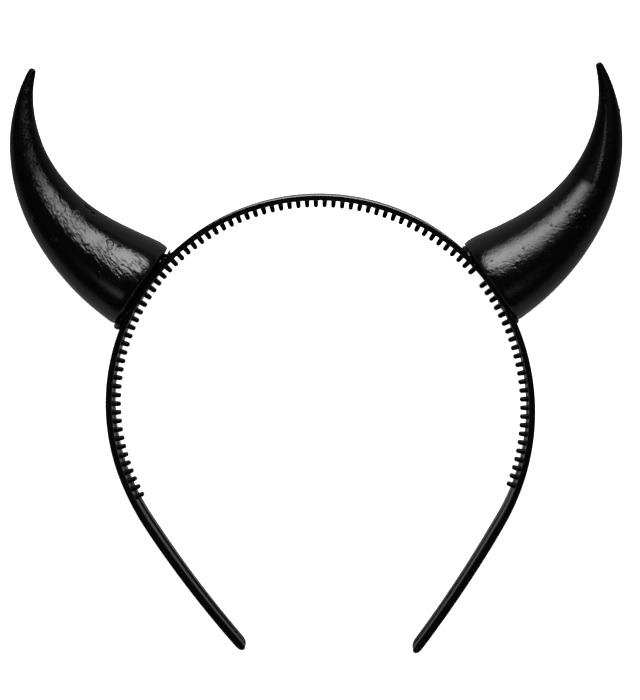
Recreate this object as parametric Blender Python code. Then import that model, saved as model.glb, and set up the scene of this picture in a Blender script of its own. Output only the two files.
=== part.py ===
# Devil horns headband: a toothed plastic hair band with two hollow curved horns
# glued to its outer face. It lies flat on a surface, on the horns' round sides
# and the two leg tips. Metres, +Z up, +X to the right, +Y towards the crown.

import math
from collections import namedtuple

import bmesh
import bpy
from mathutils import Matrix, Vector

# Driving dimensions of the band
BAND_WIDTH = 0.0090            # depth of the strip, front edge to back edge
LEG_TIP_WIDTH = 0.0064         # the legs narrow to this at their tips
CROWN_HEIGHT = 0.06580         # crown above the centre of the head circle
EDGE_CHAMFER = 0.00025
TIP_ROUND = 0.0016             # length of the rounded end of each leg
STATION_STEP = 0.0029

# The strip's middle line, as arcs that meet smoothly, from the crown outwards
Arc = namedtuple("Arc", "radius length")
LEFT_ARCS = [
    Arc(radius=0.0663, length=0.1280),
    Arc(radius=0.0817, length=0.0160),
    Arc(radius=0.3600, length=0.0523),
]
RIGHT_ARCS = [
    Arc(radius=0.0665, length=0.0790),
    Arc(radius=0.0718, length=0.0630),
    Arc(radius=0.4200, length=0.0523),
]

# The strip's thickness and width, by the distance from the crown
Strip = namedtuple("Strip", "along thickness width")
STRIP_ROWS = [
    Strip(along=0.000, thickness=0.00162, width=BAND_WIDTH),
    Strip(along=0.045, thickness=0.00172, width=BAND_WIDTH),
    Strip(along=0.080, thickness=0.00180, width=BAND_WIDTH),
    Strip(along=0.132, thickness=0.00190, width=BAND_WIDTH),
    Strip(along=0.148, thickness=0.00230, width=0.00860),
    Strip(along=0.200, thickness=0.00240, width=LEG_TIP_WIDTH),
]

# Driving dimensions of the teeth
TOOTH_PLACES = 94
MISSING_TOOTH = 68             # counted from the left leg, starting at 0
TOOTH_ROOT_DEPTH = 0.0005      # how far a tooth starts inside the strip

# Where numbered teeth stand along the strip from the crown, left is negative.
# The teeth between two rows are evenly spaced.
Comb = namedtuple("Comb", "along place")
COMB_ROWS = [
    Comb(along=0, place=-0.1352),
    Comb(along=24, place=-0.0658),
    Comb(along=67, place=0.0552),
    Comb(along=93, place=0.1304),
]

# A tooth from root to tip: a slender peg in the middle of the strip's depth,
# which narrows to a round point
Peg = namedtuple("Peg", "out thickness width")
TOOTH_ROWS = [
    Peg(out=0.00000, thickness=0.00128, width=0.0020),
    Peg(out=0.00120, thickness=0.00108, width=0.0017),
    Peg(out=0.00190, thickness=0.00094, width=0.0014),
    Peg(out=0.00228, thickness=0.00054, width=0.0008),
]

# Driving dimensions of the horns
HORN_LENGTH = 0.0818
HORN_WALL = 0.0010
HORN_BEND = math.radians(84.0)
HORN_BEND_POWER = 1.41         # the bend tightens towards the tip
MOUTH_CANT = math.radians(5.5)  # the mouth's own tilt, over its first run
MOUTH_RUN = 0.0037
CAVITY_END = 0.0670
HORN_STEP = 0.0037
HORN_STRIDE = 0.0008           # step of the walk along the middle line
TIP_CAP = 0.0006
HORN_SIDES = 24
RIM_ROUND = 0.0008
RIM_DEPTH = 0.0120             # the glue is kept clear of the wall this far in

# A horn's outer diameter along its middle line
Girth = namedtuple("Girth", "along diameter")
HORN_ROWS = [
    Girth(along=0.0000, diameter=0.0296),
    Girth(along=0.0040, diameter=0.0291),
    Girth(along=0.0120, diameter=0.0269),
    Girth(along=0.0200, diameter=0.0242),
    Girth(along=0.0300, diameter=0.0205),
    Girth(along=0.0400, diameter=0.0168),
    Girth(along=0.0500, diameter=0.0130),
    Girth(along=0.0600, diameter=0.0093),
    Girth(along=0.0700, diameter=0.0057),
    Girth(along=0.0780, diameter=0.0032),
    Girth(along=0.0811, diameter=0.0021),
    Girth(along=0.0818, diameter=0.0010),
]

# Where each horn's mouth is centred, and which way the horn leaves it
Seat = namedtuple("Seat", "name hand x y heading")
HORN_SEATS = [
    Seat("horn_left", hand=-1, x=-0.05583, y=0.03800, heading=math.radians(29.8)),
    Seat("horn_right", hand=1, x=0.05360, y=0.03948, heading=math.radians(30.3)),
]

# Glue beads where a horn's rim crosses the strip: half lengths along the mouth,
# away from the strip and across it, and how far past the rim each is centred
Bead = namedtuple("Bead", "name horn side past drop long tall deep")
GLUE_BEADS = [
    Bead("glue_left_upper", 0, 1, -0.0031, 0.0010, 0.0042, 0.0019, 0.0058),
    Bead("glue_left_lower", 0, -1, -0.0019, 0.0010, 0.0036, 0.0018, 0.0057),
    Bead("glue_right_upper", 1, 1, -0.0032, 0.0004, 0.0036, 0.0016, 0.0057),
    Bead("glue_right_lower", 1, -1, -0.0022, 0.0006, 0.0037, 0.0017, 0.0058),
]

GAP = 0.0003                   # left between pieces that are glued or rest together

Finish = namedtuple("Finish", "color roughness metallic")
BAND_FINISH = Finish(color=(0.012, 0.012, 0.013), roughness=0.38, metallic=0.0)
HORN_FINISH = Finish(color=(0.010, 0.010, 0.010), roughness=0.32, metallic=0.0)
GLUE_FINISH = Finish(color=(0.020, 0.019, 0.018), roughness=0.12, metallic=0.0)


def clear_scene():
    for obj in list(bpy.data.objects):
        bpy.data.objects.remove(obj, do_unlink=True)


def new_collection(name):
    collection = bpy.data.collections.new(name)
    bpy.context.scene.collection.children.link(collection)
    return collection


def material(name, finish):
    mat = bpy.data.materials.new(name)
    mat.use_nodes = True
    shader = mat.node_tree.nodes["Principled BSDF"]
    shader.inputs["Base Color"].default_value = (*finish.color, 1.0)
    shader.inputs["Roughness"].default_value = finish.roughness
    shader.inputs["Metallic"].default_value = finish.metallic
    return mat


def place(obj, collection, holder):
    collection.objects.link(obj)
    obj.parent = holder
    return obj


def as_cutter(obj):
    obj.hide_render = True
    obj.display_type = "WIRE"
    return obj


def combine(obj, other, operation):
    modifier = obj.modifiers.new(operation.lower(), "BOOLEAN")
    modifier.operation = operation
    modifier.solver = "EXACT"
    modifier.object = other


def read_rows(rows, along, field):
    # Straight-line value of one column of a table at a distance along the piece
    first = rows[0]
    for row in rows[1:]:
        if along <= row.along:
            share = (along - first.along) / (row.along - first.along)
            return getattr(first, field) * (1 - share) + getattr(row, field) * share
        first = row
    return getattr(first, field)


def smooth_rows(rows, along, field):
    # The same, on a smooth curve through the rows
    last = len(rows) - 1
    index = 0
    while index < last - 1 and along > rows[index + 1].along:
        index += 1
    near = [rows[max(0, min(last, index + k))] for k in (-1, 0, 1, 2)]
    at = [row.along for row in near]
    value = [getattr(row, field) for row in near]
    span = at[2] - at[1]
    share = (along - at[1]) / span
    slope_in = (value[2] - value[0]) / (at[2] - at[0])
    slope_out = (value[3] - value[1]) / (at[3] - at[1])
    return (
        value[1] * (2 * share**3 - 3 * share**2 + 1)
        + slope_in * span * (share**3 - 2 * share**2 + share)
        + value[2] * (3 * share**2 - 2 * share**3)
        + slope_out * span * (share**3 - share**2)
    )


def leg_length(side):
    arcs = RIGHT_ARCS if side > 0 else LEFT_ARCS
    return sum(arc.length for arc in arcs)


def strip_frame(along):
    # Point of the strip's middle line, its direction and its outward normal.
    # Distances to the left of the crown are negative.
    side = 1 if along >= 0 else -1
    left = abs(along)
    x, y, heading = 0.0, CROWN_HEIGHT, 0.0
    for arc in RIGHT_ARCS if side > 0 else LEFT_ARCS:
        step = min(left, arc.length)
        turn = step / arc.radius
        x += arc.radius * (math.sin(heading + turn) - math.sin(heading))
        y += arc.radius * (math.cos(heading + turn) - math.cos(heading))
        heading += turn
        left -= step
    point = Vector((side * x, y, 0.0))
    forward = Vector((math.cos(heading), -side * math.sin(heading), 0.0))
    outward = Vector((side * math.sin(heading), math.cos(heading), 0.0))
    return point, forward, outward


def strip_section(along, grow):
    # Eight corners of the strip's cross section, smaller inside its round ends
    side = 1 if along >= 0 else -1
    to_tip = leg_length(side) - abs(along)
    shrink = 1.0
    if to_tip < TIP_ROUND:
        shrink = math.sqrt(max(0.0, 1 - (1 - to_tip / TIP_ROUND) ** 2)) * 0.72 + 0.28
    half_t = read_rows(STRIP_ROWS, abs(along), "thickness") / 2 * shrink + grow
    half_w = read_rows(STRIP_ROWS, abs(along), "width") / 2 * (0.7 + 0.3 * shrink) + grow
    cut = EDGE_CHAMFER * shrink
    point, _, outward = strip_frame(along)
    corners = [
        (half_t, -half_w + cut), (half_t, half_w - cut),
        (half_t - cut, half_w), (-half_t + cut, half_w),
        (-half_t, half_w - cut), (-half_t, -half_w + cut),
        (-half_t + cut, -half_w), (half_t - cut, -half_w),
    ]
    up = Vector((0.0, 0.0, 1.0))
    return [point + outward * out + up * lift for out, lift in corners]


def loft(bm, rings):
    # Closed skin through rings with the same number of corners
    loops = [[bm.verts.new(co) for co in ring] for ring in rings]
    for first, second in zip(loops, loops[1:]):
        for k in range(len(first)):
            nxt = (k + 1) % len(first)
            bm.faces.new((first[k], second[k], second[nxt], first[nxt]))
    bm.faces.new(loops[0])
    bm.faces.new(list(reversed(loops[-1])))


def mesh_object(name, bm, mat):
    bmesh.ops.recalc_face_normals(bm, faces=bm.faces)
    mesh = bpy.data.meshes.new(name)
    bm.to_mesh(mesh)
    bm.free()
    if mat:
        mesh.materials.append(mat)
    return bpy.data.objects.new(name, mesh)


def strip_stations(first, last):
    count = max(2, round((last - first) / STATION_STEP))
    return [first + (last - first) * k / count for k in range(count + 1)]


def band_strip(mat):
    left_end = -leg_length(-1)
    right_end = leg_length(1)
    ends = [TIP_ROUND * share for share in (0.0, 0.12, 0.4)]
    stations = [left_end + step for step in ends]
    stations += strip_stations(left_end + TIP_ROUND, right_end - TIP_ROUND)
    stations += [right_end - step for step in reversed(ends)]
    bm = bmesh.new()
    loft(bm, [strip_section(along, 0.0) for along in stations])
    return mesh_object("band", bm, mat)


def tooth(bm, along):
    point, forward, outward = strip_frame(along)
    thickness = read_rows(STRIP_ROWS, abs(along), "thickness")
    up = Vector((0.0, 0.0, 1.0))
    face = point - outward * (thickness / 2)
    root = TOOTH_ROWS[0]._replace(out=-TOOTH_ROOT_DEPTH)
    rings = []
    for row in [root] + TOOTH_ROWS:
        centre = face - outward * row.out
        half_t = row.thickness / 2
        half_w = row.width / 2
        corners = ((-half_t, -half_w), (half_t, -half_w), (half_t, half_w), (-half_t, half_w))
        rings.append([centre + forward * a + up * b for a, b in corners])
    loft(bm, rings)


def band_teeth():
    bm = bmesh.new()
    for place_number in range(TOOTH_PLACES):
        if place_number != MISSING_TOOTH:
            tooth(bm, read_rows(COMB_ROWS, place_number, "place"))
    return mesh_object("band_teeth", bm, None)


def horn_frame(seat, along):
    # Point of a horn's middle line and its direction, walked in short steps
    x, y = seat.x, seat.y
    mouth_heading = seat.heading + MOUTH_CANT
    count = max(1, math.ceil(abs(along) / HORN_STRIDE))
    stride = along / count
    heading = mouth_heading
    for k in range(count):
        middle = max(0.0, (k + 0.5) * stride)
        bend = HORN_BEND * (middle / HORN_LENGTH) ** HORN_BEND_POWER
        settle = max(0.0, 1 - middle / MOUTH_RUN)
        heading = seat.heading + bend + MOUTH_CANT * settle
        x += seat.hand * math.cos(heading) * stride
        y += math.sin(heading) * stride
    if along <= 0.0:
        heading = mouth_heading
    return Vector((x, y, 0.0)), Vector((seat.hand * math.cos(heading), math.sin(heading), 0.0))


def horn_ring(seat, along, radius):
    point, forward = horn_frame(seat, along)
    across = Vector((-forward.y, forward.x, 0.0))
    up = Vector((0.0, 0.0, 1.0))
    ring = []
    for k in range(HORN_SIDES):
        angle = math.tau * (k + 0.5) / HORN_SIDES
        ring.append(point + (across * math.cos(angle) + up * math.sin(angle)) * radius)
    return ring


def horn_radius(along):
    # Radius of the outside, rounded in at the rim
    radius = smooth_rows(HORN_ROWS, max(0.0, along), "diameter") / 2
    if along < RIM_ROUND:
        rise = 1 - max(0.0, along) / RIM_ROUND
        radius -= RIM_ROUND * (1 - math.sqrt(1 - rise**2)) * 0.7
    return radius


def bore_radius(along):
    return smooth_rows(HORN_ROWS, max(0.0, along), "diameter") / 2 - HORN_WALL


def even_marks(first, last):
    count = max(1, round((last - first) / HORN_STEP))
    return [first + (last - first) * k / count for k in range(count + 1)]


def horn_shell(name, seat, grow, bore_end, outer_end):
    # One closed skin: from the bore's end back to the mouth, over the rim and
    # along the outside. Every wall is moved outwards by grow.
    bore = [horn_ring(seat, a, bore_radius(a) - grow) for a in even_marks(-grow, bore_end)]
    marks = [-grow, RIM_ROUND * 0.4] + even_marks(RIM_ROUND, outer_end)
    if outer_end == HORN_LENGTH:
        marks.insert(-1, HORN_LENGTH - TIP_CAP)
    outside = [horn_ring(seat, a, horn_radius(a) + grow) for a in marks]
    bm = bmesh.new()
    loft(bm, list(reversed(bore)) + outside)
    return mesh_object(name, bm, None)


def glue_bead(bead, mat):
    # A squashed ball of glue, centred where the rim crosses the strip
    seat = HORN_SEATS[bead.horn]
    normal_angle = seat.heading + MOUTH_CANT
    normal = Vector((seat.hand * math.cos(normal_angle), math.sin(normal_angle), 0.0))
    along_mouth = Vector((-seat.hand * math.sin(normal_angle), math.cos(normal_angle), 0.0))
    reach = HORN_ROWS[0].diameter / 2 - HORN_WALL / 2 + bead.past
    centre = Vector((seat.x, seat.y, 0.0)) + along_mouth * (bead.side * reach) - normal * bead.drop
    bm = bmesh.new()
    bmesh.ops.create_uvsphere(bm, u_segments=12, v_segments=8, radius=1.0)
    turn = Matrix((along_mouth, normal, Vector((0.0, 0.0, 1.0)))).transposed().to_4x4()
    size = Matrix.Diagonal((bead.long, bead.tall, bead.deep, 1.0))
    bmesh.ops.transform(bm, matrix=Matrix.Translation(centre) @ turn @ size, verts=bm.verts)
    return mesh_object(bead.name, bm, mat)


def strip_clearance(seat):
    # The stretch of strip under a horn, grown by the gap on all sides
    middle = seat.hand * math.atan2(abs(seat.x), seat.y) * RIGHT_ARCS[0].radius
    reach = HORN_ROWS[0].diameter / 2 + 0.0080
    bm = bmesh.new()
    loft(bm, [strip_section(a, GAP) for a in strip_stations(middle - reach, middle + reach)])
    return mesh_object(seat.name + "_strip", bm, None)


def smooth_faces(obj):
    obj.data.shade_smooth()
    obj.data.set_sharp_from_angle(angle=math.radians(40))


def lie_angle():
    # The band leans on the horns' round sides, so its crown is lifted a little
    seat_y = sum(seat.y for seat in HORN_SEATS) / len(HORN_SEATS)
    tip_y = sum(strip_frame(side * leg_length(side))[0].y for side in (-1, 1)) / 2
    rise = HORN_ROWS[0].diameter / 2 - LEG_TIP_WIDTH / 2
    return math.atan2(rise, seat_y - tip_y)


def rest_on_floor(holder, pieces):
    # Lowest point at height zero, and the middle of the outline over the origin
    bpy.context.view_layer.update()
    graph = bpy.context.evaluated_depsgraph_get()
    low = Vector((math.inf,) * 3)
    high = Vector((-math.inf,) * 3)
    for piece in pieces:
        solid = piece.evaluated_get(graph)
        for vertex in solid.data.vertices:
            spot = solid.matrix_world @ vertex.co
            low = Vector(map(min, low, spot))
            high = Vector(map(max, high, spot))
    holder.location = (-(low.x + high.x) / 2, -(low.y + high.y) / 2, -low.z)


def build():
    clear_scene()
    parts = new_collection("devil_horns_headband")
    cutters = new_collection("cutters")
    holder = bpy.data.objects.new("lying_flat", None)
    parts.objects.link(holder)
    holder.rotation_euler = (lie_angle(), 0.0, 0.0)

    band_mat = material("black_band_plastic", BAND_FINISH)
    band = place(band_strip(band_mat), parts, holder)
    teeth = as_cutter(place(band_teeth(), cutters, holder))
    combine(band, teeth, "UNION")
    smooth_faces(band)
    pieces = [band]

    for seat in HORN_SEATS:
        horn = place(horn_shell(seat.name, seat, 0.0, CAVITY_END, HORN_LENGTH), parts, holder)
        horn.data.materials.append(material("black_" + seat.name, HORN_FINISH))
        smooth_faces(horn)
        pieces.append(horn)

    for number, seat in enumerate(HORN_SEATS):
        strip = as_cutter(place(strip_clearance(seat), cutters, holder))
        shell = horn_shell(seat.name + "_rim", seat, GAP, RIM_DEPTH, RIM_DEPTH + HORN_WALL)
        rim = as_cutter(place(shell, cutters, holder))
        for bead in GLUE_BEADS:
            if bead.horn == number:
                glue = place(glue_bead(bead, material(bead.name, GLUE_FINISH)), parts, holder)
                combine(glue, strip, "DIFFERENCE")
                combine(glue, rim, "DIFFERENCE")
                smooth_faces(glue)
                pieces.append(glue)

    rest_on_floor(holder, pieces)


build()
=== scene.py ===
import math

import bmesh
import bpy
from mathutils import Matrix, Vector, noise


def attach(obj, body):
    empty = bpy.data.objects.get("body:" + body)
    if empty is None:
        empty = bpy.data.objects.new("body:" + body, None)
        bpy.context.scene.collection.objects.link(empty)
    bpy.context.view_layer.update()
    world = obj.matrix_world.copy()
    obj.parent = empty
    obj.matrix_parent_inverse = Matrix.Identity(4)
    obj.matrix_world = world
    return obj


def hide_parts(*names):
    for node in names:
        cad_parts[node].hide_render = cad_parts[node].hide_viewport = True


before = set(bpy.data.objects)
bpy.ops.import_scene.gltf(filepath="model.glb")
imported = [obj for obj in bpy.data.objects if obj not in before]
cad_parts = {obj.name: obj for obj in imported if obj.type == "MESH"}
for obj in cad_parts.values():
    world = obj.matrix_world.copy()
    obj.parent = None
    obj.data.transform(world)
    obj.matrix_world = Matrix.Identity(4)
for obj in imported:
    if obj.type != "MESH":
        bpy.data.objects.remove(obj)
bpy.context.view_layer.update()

# Where it lies. The headband rests on the round mouths of its horns and on its
# two leg tips, so the band's plane is tipped a little. Every piece is drawn in
# that plane, round the middle of the head circle, and laid down by lay_down.
LEAN = math.radians(5.543)
HEAD_CENTRE = Vector((0.001293, -0.012593, 0.011102))
lay_down = Matrix.Translation(HEAD_CENTRE) @ Matrix.Rotation(LEAN, 4, "X")
UP = Vector((0.0, 0.0, 1.0))

# The camera hangs above the crown and looks down at the band, a little towards
# the legs.
EYE = Vector((0.00944, 0.09394, 0.47050))
LOOKS_AT = Vector((0.00024, 0.01771, 0.0))
LENS_MM = 77.80
eye_back = (EYE - LOOKS_AT).normalized()
eye_right = Vector((0.0, 1.0, 0.0)).cross(eye_back).normalized()
eye_up = eye_back.cross(eye_right)
camera_data = bpy.data.cameras.new("camera")
camera_data.lens = LENS_MM
camera_data.sensor_width = 36.0
camera_data.clip_start = 0.01
camera = bpy.data.objects.new("camera", camera_data)
bpy.context.scene.collection.objects.link(camera)
eye_axes = Matrix((eye_right, eye_up, eye_back)).transposed().to_4x4()
camera.matrix_world = lay_down @ Matrix.Translation(EYE) @ eye_axes
bpy.context.scene.camera = camera
bpy.context.scene.view_settings.view_transform = "Standard"


# The studio: one big soft box behind the crown, which draws the long light on
# both horns, and two small dim ones by the legs.
def soft_box(name, place, aim, width, depth, radiance):
    lamp = bpy.data.lights.new(name, "AREA")
    lamp.shape = "RECTANGLE"
    lamp.size = width
    lamp.size_y = depth
    lamp.energy = radiance * math.pi * width * depth
    holder = bpy.data.objects.new(name, lamp)
    back = (Vector(place) - Vector(aim)).normalized()
    right = UP.cross(back).normalized()
    axes = Matrix((right, back.cross(right), back)).transposed().to_4x4()
    holder.matrix_world = lay_down @ Matrix.Translation(Vector(place)) @ axes
    bpy.context.scene.collection.objects.link(holder)


soft_box("long_light", (0.04, 0.725, 0.40), (0.04, 0.70, 0.0), 0.60, 0.85, 9.0)
soft_box("left_dim_light", (-0.51, -0.29, 0.66), (-0.06, 0.03, 0.0), 0.17, 0.17, 1.1)
soft_box("right_dim_light", (0.44, -0.37, 0.66), (0.06, 0.03, 0.0), 0.15, 0.15, 1.1)


# The surface it lies on: a plain white sheet under an even white sky. Mirror
# rays meet a dim grey in both, so that black plastic keeps its dark edges.
# Field and Finish write the nodes of its material and of all later ones.
SHEET_HALF = 4.0
SHEET_GLOW = 0.62
MIRRORED_SHEET = 0.21
MIRRORED_SKY = 0.012
SKY_LIGHT = 0.80


class Field:
    """A value on its way through a material's nodes."""

    def __init__(self, tree, socket):
        self.tree = tree
        self.socket = socket

    def maths(self, operation, first, second):
        node = self.tree.nodes.new("ShaderNodeMath")
        node.operation = operation
        for socket, value in zip(node.inputs, (first, second)):
            feed(self.tree, socket, value)
        return Field(self.tree, node.outputs[0])

    def __add__(self, other):
        return self.maths("ADD", self, other)

    def __radd__(self, other):
        return self.maths("ADD", other, self)

    def __sub__(self, other):
        return self.maths("SUBTRACT", self, other)

    def __rsub__(self, other):
        return self.maths("SUBTRACT", other, self)

    def __mul__(self, other):
        return self.maths("MULTIPLY", self, other)

    def __rmul__(self, other):
        return self.maths("MULTIPLY", other, self)


def feed(tree, socket, value):
    if isinstance(value, Field):
        tree.links.new(value.socket, socket)
    else:
        socket.default_value = value


class Finish:
    """One material: its shader, and one method that adds any other node."""

    def __init__(self, name, **constants):
        self.material = bpy.data.materials.new(name)
        self.material.use_nodes = True
        self.tree = self.material.node_tree
        self.shader = self.tree.nodes["Principled BSDF"]
        for key, value in constants.items():
            self.shader.inputs[key.replace("_", " ")].default_value = value

    def node(self, kind, settings, sockets, output=0):
        node = self.tree.nodes.new(kind)
        for key, value in settings.items():
            setattr(node, key, value)
        for key, value in sockets.items():
            feed(self.tree, node.inputs[key], value)
        return Field(self.tree, node.outputs[output])

    def place(self):
        return self.node("ShaderNodeTexCoord", {}, {}, "Object")

    def attribute(self, name):
        return self.node("ShaderNodeAttribute", {"attribute_name": name}, {}, "Vector")

    def axes(self, coords):
        # The three numbers of a place
        return [self.node("ShaderNodeSeparateXYZ", {}, {"Vector": coords}, way) for way in "XYZ"]

    def scaled(self, coords, scale):
        return self.node("ShaderNodeMapping", {}, {"Vector": coords, "Scale": scale})

    def drawn_out(self, coords, scale, degrees):
        # Turned about Y, which is up on a straight horn, and stretched on the turned axes
        values = {"Vector": coords, "Scale": scale, "Rotation": (0.0, math.radians(degrees), 0.0)}
        return self.node("ShaderNodeMapping", {"vector_type": "TEXTURE"}, values)

    def cloud(self, coords, scale, detail, twist=0.0):
        values = {"Vector": coords, "Scale": scale, "Detail": detail, "Distortion": twist}
        return self.node("ShaderNodeTexNoise", {}, values)

    def stretch(self, value, low, high):
        return self.node("ShaderNodeMapRange", {"clamp": True}, {0: value, 1: low, 2: high})

    def bump(self, height, distance, under=None):
        values = {"Height": height, "Distance": distance, "Strength": 1.0}
        if under is not None:
            values["Normal"] = under
        return self.node("ShaderNodeBump", {}, values)

    def blend(self, share, dark, light):
        # The colour sockets of a Mix node are its inputs 6 and 7 and its output 2
        values = {0: share, 6: (*dark, 1.0), 7: (*light, 1.0)}
        return self.node("ShaderNodeMix", {"data_type": "RGBA"}, values, 2)

    def show(self, **sockets):
        for key, value in sockets.items():
            feed(self.tree, self.shader.inputs[key.replace("_", " ")], value)
        return self.material

    def fade_to(self, share, shine, **sockets):
        # Mixed with a second shader, less shiny face on, wherever share is high
        bright = Field(self.tree, self.shader.outputs[0])
        self.shader = self.tree.nodes.new("ShaderNodeBsdfPrincipled")
        self.shader.inputs["Specular Tint"].default_value = (shine, shine, shine, 1.0)
        self.show(**sockets)
        dull = Field(self.tree, self.shader.outputs[0])
        mixed = self.node("ShaderNodeMixShader", {}, {0: share, 1: bright, 2: dull})
        feed(self.tree, self.tree.nodes["Material Output"].inputs["Surface"], mixed)


sheet_finish = Finish("white_sheet", Base_Color=(0.86, 0.86, 0.86, 1.0), Roughness=0.9)
sheet_finish.shader.inputs["Specular IOR Level"].default_value = 0.0
sheet_finish.shader.inputs["Emission Color"].default_value = (1.0, 1.0, 1.0, 1.0)
sheet_finish.shader.inputs["Emission Strength"].default_value = SHEET_GLOW
mirror_ray = sheet_finish.node("ShaderNodeLightPath", {}, {}, "Is Glossy Ray")
grey_sheet = sheet_finish.node("ShaderNodeEmission", {}, {"Strength": MIRRORED_SHEET})
white_sheet = Field(sheet_finish.tree, sheet_finish.shader.outputs[0])
either_sheet = sheet_finish.node("ShaderNodeMixShader", {}, {0: mirror_ray, 1: white_sheet, 2: grey_sheet})
sheet_end = sheet_finish.tree.nodes["Material Output"].inputs["Surface"]
feed(sheet_finish.tree, sheet_end, either_sheet)

floor_mesh = bpy.data.meshes.new("floor")
floor_skin = bmesh.new()
bmesh.ops.create_grid(floor_skin, x_segments=1, y_segments=1, size=SHEET_HALF)
floor_skin.to_mesh(floor_mesh)
floor_skin.free()
floor_mesh.materials.append(sheet_finish.material)
floor = bpy.data.objects.new("floor", floor_mesh)
bpy.context.scene.collection.objects.link(floor)

world = bpy.data.worlds.new("studio")
world.use_nodes = True
sky = world.node_tree.nodes["Background"]
sky.inputs["Color"].default_value = (1.0, 1.0, 1.0, 1.0)
ray = world.node_tree.nodes.new("ShaderNodeLightPath")
sky_mirrored = Field(world.node_tree, ray.outputs["Is Glossy Ray"])
feed(world.node_tree, sky.inputs["Strength"], SKY_LIGHT - sky_mirrored * (SKY_LIGHT - MIRRORED_SKY))
bpy.context.scene.world = world


# The hair band. One C-shaped strip of hard black plastic, moulded in one shot
# with its comb. Its inner face has a shallow groove down the middle, its edges
# are rounded, and its legs get narrower and thicker towards their tips.
CROWN = 0.06580
STRIP_STEP = 0.0008
LEFT_ARCS = ((0.0663, 0.1280), (0.0817, 0.0160), (0.3600, 0.0523))
RIGHT_ARCS = ((0.0665, 0.0790), (0.0718, 0.0630), (0.4200, 0.0523))
STRIP_ROWS = (
    {"along": 0.000, "thick": 0.00182, "wide": 0.0090},
    {"along": 0.045, "thick": 0.00190, "wide": 0.0090},
    {"along": 0.080, "thick": 0.00198, "wide": 0.0090},
    {"along": 0.132, "thick": 0.00206, "wide": 0.0090},
    {"along": 0.148, "thick": 0.00240, "wide": 0.0086},
    {"along": 0.200, "thick": 0.00248, "wide": 0.0064},
)
STRIP_EDGE = 0.00026
GROOVE_HALF = 0.00150
GROOVE_FLOOR = 0.00090
GROOVE_DEPTH = 0.00046
LEG_END = 0.0028
LEG_END_MARKS = (0.0, 0.03, 0.1, 0.22, 0.38, 0.58, 0.8)
END_THICK = 0.08    # share of the thickness that is left at the very end
END_WIDE = 0.58     # the width closes only towards this share
CORNER_TURNS = (0, 22.5, 45, 67.5, 90)


def read_straight(rows, along, column):
    first = rows[0]
    for row in rows[1:]:
        if along <= row["along"]:
            share = (along - first["along"]) / (row["along"] - first["along"])
            return first[column] * (1 - share) + row[column] * share
        first = row
    return first[column]


def strip_place(along):
    # Middle line of the strip from the crown: its point and its outward side
    side = 1 if along >= 0 else -1
    left = abs(along)
    x, y, heading = 0.0, CROWN, 0.0
    for radius, length in RIGHT_ARCS if side > 0 else LEFT_ARCS:
        step = min(left, length)
        turn = step / radius
        x += radius * (math.sin(heading + turn) - math.sin(heading))
        y += radius * (math.cos(heading + turn) - math.cos(heading))
        heading += turn
        left -= step
    return Vector((side * x, y, 0.0)), Vector((side * math.sin(heading), math.cos(heading), 0.0))


def strip_section(along):
    side = 1 if along >= 0 else -1
    arcs = RIGHT_ARCS if side > 0 else LEFT_ARCS
    to_tip = sum(length for _, length in arcs) - abs(along)
    closing = 1.0
    if to_tip < LEG_END:
        closing = math.sqrt(max(0.0, 1 - (1 - to_tip / LEG_END) ** 2)) * (1 - END_THICK) + END_THICK
    half_t = read_straight(STRIP_ROWS, abs(along), "thick") / 2 * closing
    half_w = read_straight(STRIP_ROWS, abs(along), "wide") / 2 * (END_WIDE + (1 - END_WIDE) * closing)
    edge = STRIP_EDGE * closing
    corners = []
    for out, lift, start in ((1, 1, 0), (-1, 1, 90), (-1, -1, 180), (1, -1, 270)):
        for angle in CORNER_TURNS:
            turn = math.radians(start + angle)
            corners.append((out * (half_t - edge) + edge * math.cos(turn),
                            lift * (half_w - edge) + edge * math.sin(turn)))
        if out < 0 and lift > 0:
            depth = GROOVE_DEPTH * closing
            for lift_to, sunk in ((GROOVE_HALF, 0.0), (GROOVE_FLOOR, depth),
                                  (-GROOVE_FLOOR, depth), (-GROOVE_HALF, 0.0)):
                corners.append((-half_t + sunk, lift_to * closing))
    point, outward = strip_place(along)
    return [point + outward * out + UP * lift for out, lift in corners]


def skin(bm, rings):
    # Closed skin through rings that have the same number of corners
    loops = [[bm.verts.new(co) for co in ring] for ring in rings]
    size = len(loops[0])
    for first, second in zip(loops, loops[1:]):
        for k in range(size):
            bm.faces.new((first[k], second[k], second[(k + 1) % size], first[(k + 1) % size]))
    for loop in (loops[0], loops[-1]):
        middle = bm.verts.new(sum((v.co for v in loop), Vector()) / size)
        for k in range(size):
            bm.faces.new((loop[k], loop[(k + 1) % size], middle))


def finished_piece(name, mesh, material, nodes, sharp_degrees):
    mesh.name = name
    mesh.materials.clear()
    mesh.materials.append(material)
    mesh.transform(lay_down)
    mesh.shade_smooth()
    mesh.set_sharp_from_angle(angle=math.radians(sharp_degrees))
    piece = bpy.data.objects.new(name, mesh)
    bpy.context.scene.collection.objects.link(piece)
    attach(piece, "root")
    if nodes:
        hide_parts(*nodes)


left_tip = -sum(length for _, length in LEFT_ARCS)
right_tip = sum(length for _, length in RIGHT_ARCS)
tip_marks = [LEG_END * share for share in LEG_END_MARKS]
strip_run = right_tip - left_tip - 2 * LEG_END
strip_count = round(strip_run / STRIP_STEP)
strip_marks = [left_tip + mark for mark in tip_marks]
for k in range(strip_count + 1):
    strip_marks.append(left_tip + LEG_END + strip_run * k / strip_count)
strip_marks += [right_tip - mark for mark in reversed(tip_marks)]

strip_skin = bmesh.new()
skin(strip_skin, [strip_section(along) for along in strip_marks])
bmesh.ops.recalc_face_normals(strip_skin, faces=strip_skin.faces)
strip_mesh = bpy.data.meshes.new("hair_band")
strip_skin.to_mesh(strip_mesh)
strip_skin.free()

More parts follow.
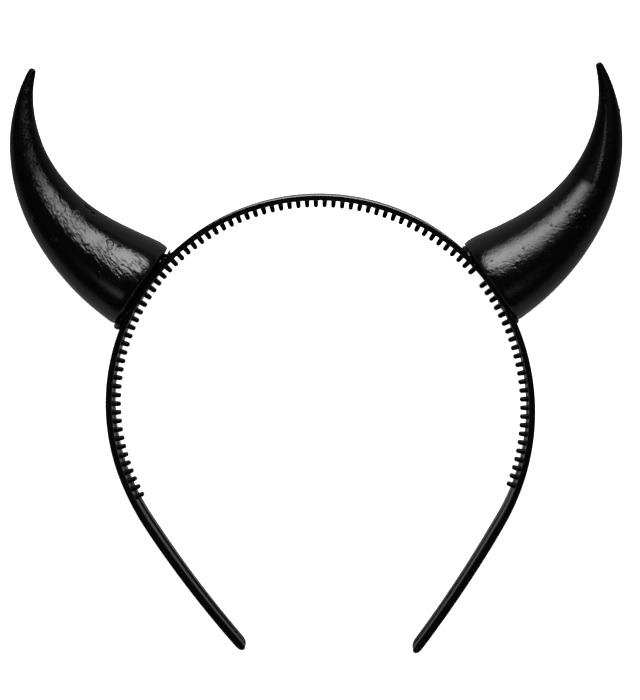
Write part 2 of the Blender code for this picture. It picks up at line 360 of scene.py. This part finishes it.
band_finish = Finish("moulded_black_band", IOR=2.1)
band_at = band_finish.place()
orange_peel = band_finish.cloud(band_at, 900.0, 2.0)
flow = band_finish.cloud(band_at, 60.0, 4.0, 0.6)
rub_noise = band_finish.cloud(band_finish.scaled(band_at, (1.0, 1.0, 9.0)), 260.0, 5.0)
rubs = band_finish.stretch(rub_noise, 0.58, 0.78)
band_relief = band_finish.bump(orange_peel, 0.000025)
band_relief = band_finish.bump(flow, 0.00012, under=band_relief)
band_finish.show(
    Base_Color=band_finish.blend(flow, (0.0003, 0.0003, 0.0003), (0.0009, 0.0009, 0.0010)),
    Roughness=0.05 + flow * 0.05 + rubs * 0.10,
    Normal=band_relief,
)
finished_piece("hair_band", strip_mesh, band_finish.material, ["band"], 35)


# The comb. Slender pegs with rounded corners and ends, down the middle of the
# strip's inner face and moulded with it, evenly spaced between a few measured
# ones. One is missing under the right horn.
TEETH = 94
LOST_TOOTH = 68
TOOTH_LENGTH = 0.00236
TOOTH_THICK = 0.00154
TOOTH_DEEP = 0.00190
TOOTH_ROOT = 0.00075
PEG_STEPS = 16
PEG_CORNER = 0.24
PEG_CORNER_STEPS = 3
COMB_ROWS = (
    {"along": 0, "place": -0.1352},
    {"along": 24, "place": -0.0658},
    {"along": 67, "place": 0.0552},
    {"along": 93, "place": 0.1304},
)
TOOTH_TAPER = (
    (0.0, 1.00), (0.25, 1.00), (0.50, 0.99), (0.75, 0.93), (0.88, 0.84), (0.955, 0.62), (1.0, 0.20))

# The teeth are the band's plastic, but their shine is turned down to a quarter and made rougher: painted
# shade that keeps them dark
comb_finish = Finish("matt_shaded_black_comb", IOR=1.5)
comb_finish.shader.inputs["Specular Tint"].default_value = (0.25, 0.25, 0.25, 1.0)
comb_at = comb_finish.place()
drag = comb_finish.cloud(comb_finish.scaled(comb_at, (1.0, 1.0, 3.0)), 1400.0, 3.0)
comb_finish.show(
    Base_Color=comb_finish.blend(drag, (0.0003, 0.0003, 0.0003), (0.0008, 0.0008, 0.0009)),
    Roughness=0.34 + drag * 0.16,
    Normal=comb_finish.bump(drag, 0.00003),
)

comb_points = bpy.data.meshes.new("comb")
roots = []
inward = []
for number in range(TEETH):
    if number != LOST_TOOTH:
        along = read_straight(COMB_ROWS, number, "place")
        point, outward = strip_place(along)
        face = point - outward * (read_straight(STRIP_ROWS, abs(along), "thick") / 2)
        roots.append(face + outward * TOOTH_ROOT)
        inward.append(-outward)
comb_points.from_pydata(roots, [], [])
inward_values = comb_points.attributes.new("inward", "FLOAT_VECTOR", "POINT")
for value, direction in zip(inward_values.data, inward):
    value.vector = direction

comb_tree = bpy.data.node_groups.new("comb_of_pegs", "GeometryNodeTree")
comb_tree.interface.new_socket("Roots", in_out="INPUT", socket_type="NodeSocketGeometry")
for label in ("Length", "Thickness", "Depth"):
    comb_tree.interface.new_socket(label, in_out="INPUT", socket_type="NodeSocketFloat")
comb_tree.interface.new_socket("Plastic", in_out="INPUT", socket_type="NodeSocketMaterial")
comb_tree.interface.new_socket("Comb", in_out="OUTPUT", socket_type="NodeSocketGeometry")


def comb_node(kind, settings, sockets):
    node = comb_tree.nodes.new(kind)
    for key, value in settings.items():
        setattr(node, key, value)
    for key, value in sockets.items():
        if isinstance(value, bpy.types.NodeSocket):
            comb_tree.links.new(value, node.inputs[key])
        else:
            node.inputs[key].default_value = value
    return node


given = comb_tree.nodes.new("NodeGroupInput").outputs
peg_end = comb_node("ShaderNodeCombineXYZ", {}, {"Z": given["Length"]})
peg_line = comb_node("GeometryNodeCurvePrimitiveLine", {}, {"End": peg_end.outputs[0]})
peg_steps = comb_node("GeometryNodeResampleCurve", {}, {"Curve": peg_line.outputs[0], "Count": PEG_STEPS})
peg_share = comb_node("GeometryNodeSplineParameter", {}, {})
peg_taper = comb_node("ShaderNodeFloatCurve", {}, {"Value": peg_share.outputs["Factor"]})
taper_points = peg_taper.mapping.curves[0].points
while len(taper_points) < len(TOOTH_TAPER):
    taper_points.new(0.5, 0.5)
for spot, place in zip(taper_points, TOOTH_TAPER):
    spot.location = place
peg_taper.mapping.update()
peg_square = comb_node("GeometryNodeCurvePrimitiveQuadrilateral", {}, {"Width": 1.0, "Height": 1.0})
peg_ring = comb_node("GeometryNodeFilletCurve", {"mode": "POLY"}, {
    "Curve": peg_square.outputs[0], "Count": PEG_CORNER_STEPS, "Radius": PEG_CORNER})
peg_skin = comb_node("GeometryNodeCurveToMesh", {}, {
    "Curve": peg_steps.outputs[0], "Profile Curve": peg_ring.outputs[0],
    "Scale": peg_taper.outputs[0], "Fill Caps": True})
peg_size = comb_node("ShaderNodeCombineXYZ", {}, {
    "X": given["Thickness"], "Y": given["Depth"], "Z": 1.0})
peg = comb_node("GeometryNodeTransform", {}, {
    "Geometry": peg_skin.outputs[0], "Scale": peg_size.outputs[0]})
peg_way = comb_node("GeometryNodeInputNamedAttribute", {"data_type": "FLOAT_VECTOR"}, {
    "Name": "inward"})
peg_turn = comb_node("FunctionNodeAxesToRotation", {"primary_axis": "Z", "secondary_axis": "Y"}, {
    "Primary Axis": peg_way.outputs[0], "Secondary Axis": (0.0, 0.0, 1.0)})
pegs = comb_node("GeometryNodeInstanceOnPoints", {}, {
    "Points": given["Roots"], "Instance": peg.outputs[0], "Rotation": peg_turn.outputs[0]})
real_pegs = comb_node("GeometryNodeRealizeInstances", {}, {"Geometry": pegs.outputs[0]})
black_pegs = comb_node("GeometryNodeSetMaterial", {}, {
    "Geometry": real_pegs.outputs[0], "Material": given["Plastic"]})
comb_out = comb_tree.nodes.new("NodeGroupOutput")
comb_tree.links.new(black_pegs.outputs[0], comb_out.inputs[0])

comb_maker = bpy.data.objects.new("comb_maker", comb_points)
bpy.context.scene.collection.objects.link(comb_maker)
comb_sizes = {"Length": TOOTH_LENGTH + TOOTH_ROOT, "Thickness": TOOTH_THICK,
              "Depth": TOOTH_DEEP, "Plastic": comb_finish.material}
comb_modifier = comb_maker.modifiers.new("comb", "NODES")
comb_modifier.node_group = comb_tree
for item in comb_tree.interface.items_tree:
    if item.in_out == "INPUT" and item.name in comb_sizes:
        comb_modifier[item.identifier] = comb_sizes[item.name]
comb_made = comb_maker.evaluated_get(bpy.context.evaluated_depsgraph_get())
comb_mesh = bpy.data.meshes.new_from_object(comb_made)
comb_maker.modifiers.clear()
bpy.data.objects.remove(comb_maker, do_unlink=True)
comb_skin = bmesh.new()
comb_skin.from_mesh(comb_mesh)
bmesh.ops.recalc_face_normals(comb_skin, faces=comb_skin.faces)
comb_skin.to_mesh(comb_mesh)
comb_skin.free()
finished_piece("comb_teeth", comb_mesh, comb_finish.material, [], 50)


# The horns. Two hollow shells of thin black plastic, the same mould turned
# over, open at the mouth where the strip runs through. Their skin is satin and
# uneven: the left one is creased along its light side, the right one has fine
# grain with a few bubbles.
HORN_LENGTH = 0.0818
HORN_WALL = 0.0010
HOLLOW_END = 0.0670
HORN_BEND = math.radians(84.0)
HORN_BEND_POWER = 1.41
MOUTH_CANT = math.radians(5.5)
MOUTH_RUN = 0.0037
WALK = 0.0008
HORN_SIDES = 180
RIM = 0.00024
LIP_RUN = 0.0022
LIP_DEPTH = 0.00052
HORN_ROWS = (
    {"along": 0.0000, "dia": 0.0296},
    {"along": 0.0040, "dia": 0.0291},
    {"along": 0.0120, "dia": 0.0269},
    {"along": 0.0200, "dia": 0.0242},
    {"along": 0.0300, "dia": 0.0205},
    {"along": 0.0400, "dia": 0.0168},
    {"along": 0.0500, "dia": 0.0130},
    {"along": 0.0600, "dia": 0.0093},
    {"along": 0.0700, "dia": 0.0057},
    {"along": 0.0780, "dia": 0.0032},
    {"along": 0.0811, "dia": 0.0021},
    {"along": 0.0818, "dia": 0.0010},
)
TIP_START = 0.0808
HOLLOW_STEPS = 40
OUTSIDE_STEPS = 240
OUTSIDE_CROWDING = 1.15    # puts the outside's rings closer together at the mouth
RIM_TURNS = 8
TIP_TURNS = 9
RELIEF_RUN = 0.003
TIP_RELIEF = 0.6
DENTS = ({"across": 0.016, "high": 0.00010, "shift": 1}, {"across": 0.006, "high": 0.00004, "shift": 2})


def read_smooth(rows, along, column):
    # Value of one column at a distance along the piece, on a smooth curve
    last = len(rows) - 1
    index = 0
    while index < last - 1 and along > rows[index + 1]["along"]:
        index += 1
    near = [rows[max(0, min(last, index + k))] for k in (-1, 0, 1, 2)]
    at = [row["along"] for row in near]
    value = [row[column] for row in near]
    span = at[2] - at[1]
    share = (along - at[1]) / span
    slope_in = (value[2] - value[0]) / (at[2] - at[0])
    slope_out = (value[3] - value[1]) / (at[3] - at[1])
    return (
        value[1] * (2 * share**3 - 3 * share**2 + 1)
        + slope_in * span * (share**3 - 2 * share**2 + share)
        + value[2] * (3 * share**2 - 2 * share**3)
        + slope_out * span * (share**3 - share**2)
    )


def horn_place(seat, along):
    # Middle line of a horn: its point, its way on and its hollow-curved side
    x, y = seat["x"], seat["y"]
    count = max(1, math.ceil(along / WALK))
    stride = along / count
    for k in range(count):
        middle = (k + 0.5) * stride
        bend = HORN_BEND * (middle / HORN_LENGTH) ** HORN_BEND_POWER
        heading = seat["heading"] + bend + MOUTH_CANT * max(0.0, 1 - middle / MOUTH_RUN)
        x += seat["hand"] * math.cos(heading) * stride
        y += math.sin(heading) * stride
    onward = Vector((seat["hand"] * math.cos(heading), math.sin(heading), 0.0))
    hollow_side = Vector((-onward.y, onward.x, 0.0)) * seat["hand"]
    return Vector((x, y, 0.0)), onward, hollow_side


def horn_profile():
    # From the end of the hollow back to the mouth, round the rim and out to
    # the tip: distance along, radius, and how much of the skin's relief shows
    def wall(along):
        return read_smooth(HORN_ROWS, along, "dia") / 2

    def outside(along):
        run = max(0.0, 1 - along / LIP_RUN)
        return wall(along) - LIP_DEPTH * (1 - math.sqrt(1 - run**2))

    rows = []
    for k in range(HOLLOW_STEPS + 1):
        along = HOLLOW_END + (RIM - HOLLOW_END) * k / HOLLOW_STEPS
        rows.append((along, wall(along) - HORN_WALL, 0.0))
    for k in range(1, RIM_TURNS):
        turn = math.pi * k / RIM_TURNS
        thick = outside(RIM) - wall(RIM) + HORN_WALL
        rows.append((RIM - RIM * math.sin(turn), outside(RIM) - thick / 2 * (1 + math.cos(turn)), 0.0))
    for k in range(OUTSIDE_STEPS + 1):
        along = RIM + (TIP_START - RIM) * (k / OUTSIDE_STEPS) ** OUTSIDE_CROWDING
        rows.append((along, outside(along), min(1.0, along / RELIEF_RUN)))
    tip_radius = wall(TIP_START)
    for k in range(1, TIP_TURNS):
        turn = math.pi / 2 * k / TIP_TURNS
        along = TIP_START + (HORN_LENGTH - TIP_START) * math.sin(turn)
        rows.append((along, tip_radius * math.cos(turn), TIP_RELIEF))
    return rows


def horn_relief(seat, straight, along, around, radius):
    # Height of the skin's unevenness, in metres: slow dents and single knocks.
    # Creases and grain are the material's.
    slow = 0.0
    for dent in DENTS:
        slow += noise.noise(straight / dent["across"] + seat["seed"] * dent["shift"]) * dent["high"]
    height = slow * seat["uneven"]
    for knock in seat["knocks"]:
        off_along = (along - knock["along"]) / knock["long"]
        off_around = (around - math.radians(knock["around"])) * radius / knock["wide"]
        height += knock["height"] * math.exp(-off_along**2 - off_around**2)
    return height


def horn_mesh(seat):
    bm = bmesh.new()
    rings = []
    straights = []
    for along, radius, share in horn_profile():
        point, _, hollow_side = horn_place(seat, along)
        ring = []
        for k in range(HORN_SIDES):
            around = math.tau * k / HORN_SIDES
            straight = Vector((math.cos(around) * radius, math.sin(around) * radius, along))
            height = 0.0
            if share:
                height = share * horn_relief(seat, straight, along, around, radius)
            ray = hollow_side * math.cos(around) + UP * math.sin(around)
            ring.append(point + ray * (radius + height))
            straights.append(straight)
        rings.append(ring)
    # The last two close the hollow's end and the tip
    straights += [Vector((0.0, 0.0, HOLLOW_END)), Vector((0.0, 0.0, HORN_LENGTH))]
    skin(bm, rings)
    bmesh.ops.recalc_face_normals(bm, faces=bm.faces)
    mesh = bpy.data.meshes.new(seat["name"])
    bm.to_mesh(mesh)
    bm.free()
    values = mesh.attributes.new("straight", "FLOAT_VECTOR", "POINT")
    for value, straight in zip(values.data, straights):
        value.vector = straight
    return mesh


HORN_SEATS = (
    {"name": "horn_left_shell", "node": "horn_left", "hand": -1, "x": -0.05583, "y": 0.03800,
     "heading": math.radians(29.8), "seed": Vector((3.1, 0.4, 7.7)), "uneven": 1.25, "knocks": (
         {"along": 0.0297, "around": 19, "long": 0.0015, "wide": 0.00048, "height": -0.00062},
         {"along": 0.0268, "around": 23, "long": 0.0010, "wide": 0.00045, "height": -0.00052},
         {"along": 0.0717, "around": 99, "long": 0.0004, "wide": 0.0016, "height": -0.00010},
         {"along": 0.0118, "around": 56, "long": 0.0004, "wide": 0.0012, "height": 0.00016},
         {"along": 0.0105, "around": 60, "long": 0.0004, "wide": 0.0010, "height": 0.00014},
     )},
    {"name": "horn_right_shell", "node": "horn_right", "hand": 1, "x": 0.05360, "y": 0.03948,
     "heading": math.radians(30.3), "seed": Vector((8.2, 5.6, 1.3)), "uneven": 0.5, "knocks": (
         {"along": 0.0668, "around": 180, "long": 0.0005, "wide": 0.0012, "height": 0.00022},
         {"along": 0.0100, "around": 78, "long": 0.0005, "wide": 0.0005, "height": 0.00010},
         {"along": 0.0118, "around": 74, "long": 0.0004, "wide": 0.0004, "height": 0.00009},
         {"along": 0.0085, "around": 82, "long": 0.0004, "wide": 0.0005, "height": -0.00009},
     )},
)

# The left horn's skin: creases that run slantwise on the side of the light, over
# fine grain. Its shine fades towards the tip, as the light does in the picture.
SLOW_FADE = 0.42    # share of the fade that comes on slowly from the mouth
creased = Finish("creased_black_horn", IOR=1.5)
skin_at = creased.attribute("straight")
hollow_at, up_at, down_axis = creased.axes(skin_at)
around = up_at.maths("ARCTAN2", up_at, hollow_at)
flank = creased.stretch(around, 0.78, 1.02) * (1.0 - creased.stretch(around, 1.48, 1.60))
slant = creased.drawn_out(skin_at, (1.0, 1.0, 7.0), 16)
crease_lines = creased.stretch(creased.cloud(slant, 1150.0, 2.0, 0.5), 0.36, 0.64)
patches = creased.stretch(creased.cloud(skin_at, 150.0, 3.0, 0.3), 0.32, 0.54)
across = creased.drawn_out(skin_at, (2.6, 1.0, 1.0), -30)
across_lines = creased.cloud(across, 1500.0, 2.0, 0.6)
spots = creased.stretch(creased.cloud(skin_at, 230.0, 2.0, 0.2), 0.64, 0.70)
grain = creased.cloud(skin_at, 2600.0, 3.0)
relief = creased.bump(grain, 0.000035)
relief = creased.bump(crease_lines * patches * flank, 0.00013, under=relief)
relief = creased.bump(across_lines * spots, 0.00022, under=relief)
skin_look = {
    "Base_Color": creased.blend(patches, (0.0003, 0.0003, 0.0003), (0.0008, 0.0008, 0.0008)),
    "Roughness": 0.14 + patches * 0.03 + grain * 0.05,
    "Normal": relief,
}
creased.show(**skin_look)
# Painted fading of the highlight: the skin's shine is turned down from the mouth towards the tip, so that
# the highlight dims there
highlight_fade = creased.stretch(down_axis, 0.006, 0.038) * SLOW_FADE
highlight_fade = highlight_fade + creased.stretch(down_axis, 0.037, 0.051) * (1 - SLOW_FADE)
skin_look["Roughness"] = 0.24 + grain * 0.06
creased.fade_to(highlight_fade, 0.085, **skin_look)

# The right horn's skin: even fine grain with scattered small bubbles. Its shine
# ends at half its length but for one thin line, as the light does in the
# picture.
LINE_TWIST = 14.0    # radians per metre
LINE_START = 2.114
LINE_EDGE = 0.010    # square of the angle off the line at which it ends
grained = Finish("grained_black_horn", IOR=1.5)
skin_at = grained.attribute("straight")
hollow_at, up_at, down_axis = grained.axes(skin_at)
around = up_at.maths("ARCTAN2", up_at, hollow_at)
low_flank = grained.stretch(around, 0.98, 1.16) * (1.0 - grained.stretch(around, 1.40, 1.50))
low_flank = low_flank * (1.0 - grained.stretch(down_axis, 0.020, 0.034))
grain = grained.cloud(skin_at, 2300.0, 4.0)
coarse = grained.cloud(skin_at, 420.0, 3.0, 0.3)
crinkles = grained.stretch(grained.cloud(skin_at, 950.0, 2.0, 1.0), 0.36, 0.64)
bubble_cells = grained.node(
    "ShaderNodeTexVoronoi", {"feature": "F1"}, {"Vector": skin_at, "Scale": 620.0}, "Distance")
bubbles = 1.0 - grained.stretch(bubble_cells, 0.10, 0.30)
bubble_area = grained.stretch(grained.cloud(skin_at, 150.0, 2.0), 0.48, 0.62)
relief = grained.bump(grain, 0.000085)
relief = grained.bump(coarse, 0.00010, under=relief)
relief = grained.bump(crinkles * low_flank, 0.000035, under=relief)
relief = grained.bump(bubbles * bubble_area, 0.00011, under=relief)
skin_look = {
    "Base_Color": grained.blend(coarse, (0.0003, 0.0003, 0.0003), (0.0008, 0.0008, 0.0008)),
    "Roughness": 0.14 + coarse * 0.05 + grain * 0.04,
    "Normal": relief,
}
grained.show(**skin_look)
# A painted highlight: one thin strip that winds round the horn keeps its shine where the rest is turned
# down
off_line = around + down_axis * LINE_TWIST - LINE_START
line = 1.0 - grained.stretch(off_line * off_line, 0.0, LINE_EDGE)
line = line * (0.46 - grained.stretch(down_axis, 0.044, 0.078) * 0.38)
# Painted fading of the highlight: the skin's shine is turned down slowly from the mouth and sharply past
# half the length, which ends the highlight there
highlight_fade = grained.stretch(down_axis, 0.0416, 0.0440) * (1.0 - line)
highlight_fade = grained.stretch(down_axis, 0.004, 0.038) * SLOW_FADE + highlight_fade * (1 - SLOW_FADE)
skin_look["Roughness"] = 0.30 + grain * 0.06
grained.fade_to(highlight_fade, 0.02, **skin_look)

for seat, finish in zip(HORN_SEATS, (creased, grained)):
    finished_piece(seat["name"], horn_mesh(seat), finish.material, [seat["node"]], 60)


# The glue. Dabs of hot-melt glue hold each horn where its rim crosses the
# strip. They set in round lumps with thin tails, coloured black and shiny.
DAB_VOXEL = 0.00022
BALL_ROUNDS = 4
SWELL = 0.10
SWELL_FREQUENCY = 1.7
SOFTEN_ROUNDS = 6
SOFTEN_SHARE = 0.6
# Each dab's horn, its side of the mouth with the crown's as 1, and its lumps
DABS = {
    "glue_left_upper": (0, 1, (
        {"past": -0.0046, "drop": 0.0010, "long": 0.0031, "tall": 0.0016, "deep": 0.0052},
        {"past": -0.0094, "drop": 0.0010, "long": 0.0036, "tall": 0.0010, "deep": 0.0040},
        {"past": -0.0020, "drop": 0.0018, "long": 0.0017, "tall": 0.0007, "deep": 0.0034},
        {"past": -0.0004, "drop": 0.0011, "long": 0.0010, "tall": 0.0003, "deep": 0.0008},
    )),
    "glue_left_lower": (0, -1, (
        {"past": -0.0019, "drop": 0.0010, "long": 0.0030, "tall": 0.0015, "deep": 0.0052},
        {"past": 0.0004, "drop": 0.0012, "long": 0.0013, "tall": 0.0013, "deep": 0.0030},
        {"past": -0.0050, "drop": 0.0012, "long": 0.0026, "tall": 0.0011, "deep": 0.0056},
        {"past": -0.0086, "drop": 0.0010, "long": 0.0030, "tall": 0.0010, "deep": 0.0044},
    )),
    "glue_right_upper": (1, 1, (
        {"past": -0.0036, "drop": 0.0007, "long": 0.0034, "tall": 0.0015, "deep": 0.0052},
        {"past": -0.0070, "drop": 0.0011, "long": 0.0026, "tall": 0.0010, "deep": 0.0048},
    )),
    "glue_right_lower": (1, -1, (
        {"past": -0.0022, "drop": 0.0007, "long": 0.0034, "tall": 0.0015, "deep": 0.0054},
        {"past": -0.0056, "drop": 0.0012, "long": 0.0026, "tall": 0.0011, "deep": 0.0056},
    )),
}


def dab_mesh(name, seat, side, lumps):
    angle = seat["heading"] + MOUTH_CANT
    onward = Vector((seat["hand"] * math.cos(angle), math.sin(angle), 0.0))
    along_mouth = Vector((-seat["hand"] * math.sin(angle), math.cos(angle), 0.0))
    rim_middle = HORN_ROWS[0]["dia"] / 2 - HORN_WALL / 2
    bm = bmesh.new()
    for lump in lumps:
        centre = Vector((seat["x"], seat["y"], 0.0))
        centre += along_mouth * (side * (rim_middle + lump["past"])) - onward * lump["drop"]
        axes = Matrix((along_mouth, onward, UP)).transposed().to_4x4()
        size = Matrix.Diagonal((lump["long"], lump["tall"], lump["deep"], 1.0))
        ball = bmesh.ops.create_icosphere(bm, subdivisions=BALL_ROUNDS, radius=1.0)
        for vertex in ball["verts"]:
            swell = noise.noise(vertex.co * SWELL_FREQUENCY + seat["seed"] * side)
            spot = vertex.co * (1 + SWELL * swell)
            vertex.co = Matrix.Translation(centre) @ axes @ size @ spot
    mesh = bpy.data.meshes.new(name)
    bm.to_mesh(mesh)
    bm.free()
    lumps_object = bpy.data.objects.new(name + "_lumps", mesh)
    bpy.context.scene.collection.objects.link(lumps_object)
    fuse = lumps_object.modifiers.new("fuse", "REMESH")
    fuse.mode = "VOXEL"
    fuse.voxel_size = DAB_VOXEL
    soften = lumps_object.modifiers.new("soften", "SMOOTH")
    soften.iterations = SOFTEN_ROUNDS
    soften.factor = SOFTEN_SHARE
    fused = lumps_object.evaluated_get(bpy.context.evaluated_depsgraph_get())
    result = bpy.data.meshes.new_from_object(fused)
    lumps_object.modifiers.clear()
    bpy.data.objects.remove(lumps_object, do_unlink=True)
    return result


glue_finish = Finish("black_hot_glue", IOR=1.48)
glue_at = glue_finish.place()
strings = glue_finish.cloud(glue_at, 420.0, 4.0, 1.2)
glue_finish.show(
    Base_Color=glue_finish.blend(strings, (0.0004, 0.0004, 0.0004), (0.0014, 0.0014, 0.0013)),
    Roughness=0.05 + strings * 0.10,
    Normal=glue_finish.bump(strings, 0.00018),
)
for name, (number, side, lumps) in DABS.items():
    dab = dab_mesh(name + "_dab", HORN_SEATS[number], side, lumps)
    finished_piece(name + "_dab", dab, glue_finish.material, [name], 60)
